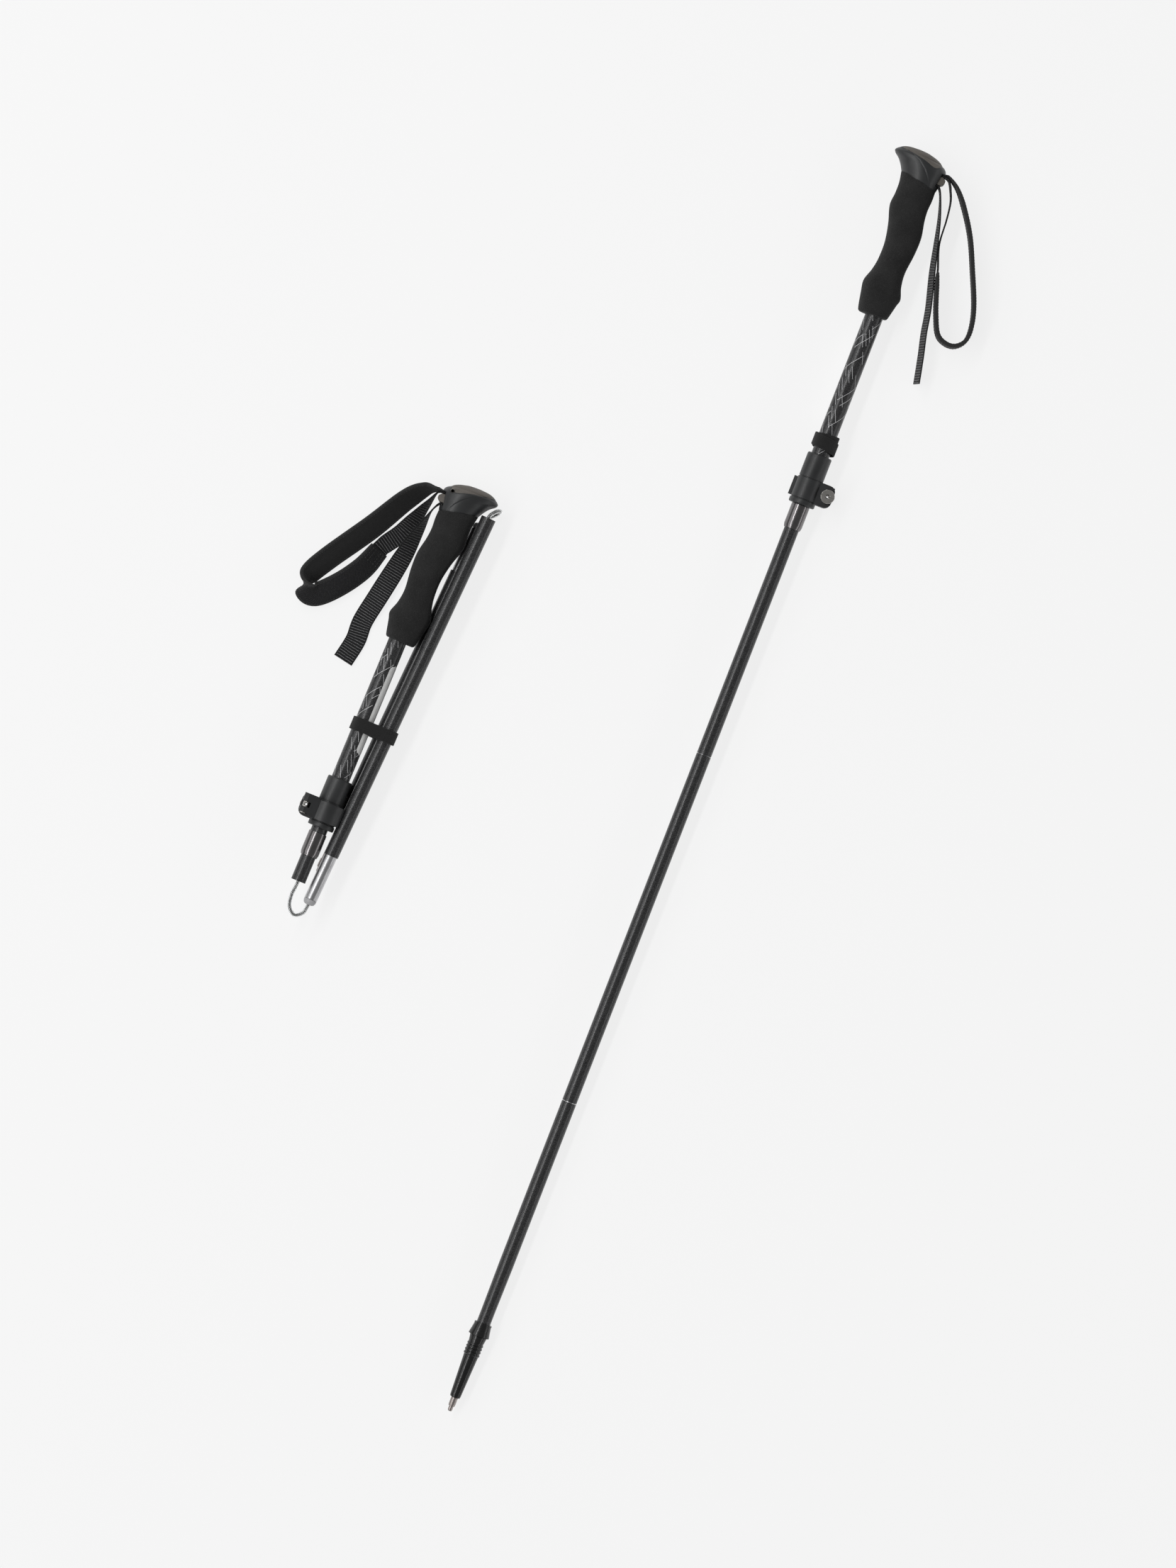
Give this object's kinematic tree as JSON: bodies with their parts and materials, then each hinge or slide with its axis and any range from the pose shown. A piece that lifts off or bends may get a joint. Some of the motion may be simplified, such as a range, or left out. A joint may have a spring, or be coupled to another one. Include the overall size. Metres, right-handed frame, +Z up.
{
  "type": "pair of folding trekking poles",
  "caption": "Pair of hiking poles: one folded and strapped, one at full length, with shaped foam grips, wrist loops, lever clamps, plug-together shafts and hard ground tips.",
  "frame": {"origin": "middle of the underside of the whole pair's bounding box, on the floor that both poles lie on", "axes": "+Y along the straight pole towards its grip, +X towards the straight pole from the folded one, +Z up from the floor"},
  "size_m": [0.524, 1.3028, 0.0465],
  "materials": {
    "head_plastic": "satin",
    "pad_plastic": "matte",
    "foam": "matte",
    "webbing": "matte",
    "pad_fabric": "matte",
    "tube_black": "satin",
    "lock_plastic": "satin",
    "steel": "polished",
    "gunmetal": "polished",
    "spigot_aluminium": "polished",
    "nose_plastic": "satin",
    "wire": "satin",
    "tip_plastic": "gloss",
    "carbide": "satin"
  },
  "bodies": {
    "poles": {"ext_grip_head": "head_plastic", "ext_top_pad": "pad_plastic", "ext_strap_pin": "steel", "ext_strap_wedge": "head_plastic", "ext_foam_grip": "foam", "ext_wrist_pad": "pad_fabric", "ext_wrist_webbing": "webbing", "ext_upper_tube": "tube_black", "ext_bundle_strap": "webbing", "ext_lock_collar": "lock_plastic", "ext_barrel_pin": "steel", "ext_clamp_screw": "steel", "fold_grip_head": "head_plastic", "fold_top_pad": "pad_plastic", "fold_strap_pin": "steel", "fold_strap_wedge": "head_plastic", "fold_foam_grip": "foam", "fold_wrist_pad": "pad_fabric", "fold_wrist_webbing": "webbing", "fold_upper_tube": "tube_black", "fold_bundle_strap": "webbing", "fold_lock_collar": "lock_plastic", "fold_barrel_pin": "steel", "fold_clamp_screw": "steel"},
    "ext_lever": {"ext_lock_lever": "lock_plastic"},
    "ext_dial": {"ext_dial_nut": "steel"},
    "ext_slider": {"ext_adjuster_tube": "tube_black", "ext_ferrule": "gunmetal", "ext_inner_tube": "tube_black", "ext_button_spring": "steel"},
    "ext_button": {"ext_snap_button": "steel"},
    "ext_middle": {"ext_middle_tube": "tube_black", "ext_middle_spigot": "spigot_aluminium", "ext_middle_nose": "nose_plastic"},
    "ext_lower": {"ext_lower_tube": "tube_black", "ext_lower_spigot": "spigot_aluminium", "ext_lower_nose": "nose_plastic", "ext_basket_collar": "tip_plastic", "ext_tip_body": "tip_plastic", "ext_tip_holder": "carbide", "ext_carbide_tip": "carbide", "ext_tension_wire": "wire"},
    "fold_lever": {"fold_lock_lever": "lock_plastic"},
    "fold_dial": {"fold_dial_nut": "steel"},
    "fold_adjuster": {"fold_adjuster_tube": "tube_black", "fold_ferrule": "gunmetal"},
    "fold_inner": {"fold_inner_tube": "tube_black", "fold_snap_button": "steel", "fold_button_spring": "steel"},
    "fold_middle": {"fold_middle_tube": "tube_black", "fold_middle_spigot": "spigot_aluminium", "fold_middle_nose": "nose_plastic", "fold_tension_wire": "wire"},
    "fold_lower": {"fold_lower_tube": "tube_black", "fold_lower_spigot": "spigot_aluminium", "fold_lower_nose": "nose_plastic", "fold_basket_collar": "tip_plastic", "fold_tip_body": "tip_plastic", "fold_tip_holder": "carbide", "fold_carbide_tip": "carbide"}
  },
  "joints": [
    {"name": "ext_lever_hinge", "type": "hinge", "parent": "poles", "child": "ext_lever", "pos_m": [0.18886, 0.30599, 0.00558], "axis": [0, -1, -0.0076], "range_deg": [0, 150]},
    {"name": "ext_dial_turn", "type": "hinge", "parent": "poles", "child": "ext_dial", "pos_m": [0.18886, 0.30583, 0.02687], "axis": [0, -0.0076, 1], "continuous": true},
    {"name": "ext_length_slide", "type": "slide", "parent": "poles", "child": "ext_slider", "axis": [0, -1, -0.0076], "range_m": [0, 0.1]},
    {"name": "ext_button_press", "type": "slide", "parent": "ext_slider", "child": "ext_button", "axis": [0, -0.0076, 1], "range_m": [0, 0.0015], "stiffness_N_per_m": 1500, "deforming": ["ext_button_spring"]},
    {"name": "ext_middle_pull", "type": "slide", "parent": "ext_slider", "child": "ext_middle", "axis": [0, -1, -0.0076], "range_m": [0, 0.06]},
    {"name": "ext_lower_pull", "type": "slide", "parent": "ext_middle", "child": "ext_lower", "axis": [0, -1, -0.0076], "range_m": [0, 0.06]},
    {"name": "fold_lever_hinge", "type": "hinge", "parent": "poles", "child": "fold_lever", "pos_m": [-0.17319, -0.15293, 0.04099], "axis": [-0.022, -0.9994, 0.0281], "range_deg": [0, 150]},
    {"name": "fold_dial_turn", "type": "hinge", "parent": "poles", "child": "fold_dial", "pos_m": [-0.1732, -0.15352, 0.0197], "axis": [-0.0006, -0.0281, -0.9996], "continuous": true},
    {"name": "fold_length_slide", "type": "slide", "parent": "poles", "child": "fold_adjuster", "axis": [-0.022, -0.9994, 0.0281], "range_m": [0, 0.1], "deforming": ["fold_bundle_strap"]},
    {"name": "fold_inner_slide", "type": "slide", "parent": "fold_adjuster", "child": "fold_inner", "axis": [-0.022, -0.9994, 0.0281], "range_m": [0, 0.2], "deforming": ["fold_bundle_strap"]},
    {"name": "fold_middle_fold", "type": "hinge", "parent": "fold_inner", "child": "fold_middle", "pos_m": [-0.14596, -0.25693, 0.03028], "axis": [-0.2162, -0.0041, -0.9763], "range_deg": [0, 177.8], "deforming": ["fold_bundle_strap", "fold_tension_wire"]},
    {"name": "fold_lower_fold", "type": "hinge", "parent": "fold_middle", "child": "fold_lower", "pos_m": [-0.11028, 0.18732, 0.01943], "axis": [0.952, -0.0643, -0.2993], "range_deg": [0, 180.2], "deforming": ["fold_bundle_strap", "fold_tension_wire"]}
  ],
  "couplings": [
    {"joint": "fold_lower_fold", "follows": "fold_middle_fold", "ratio": 1.0124}
  ]
}
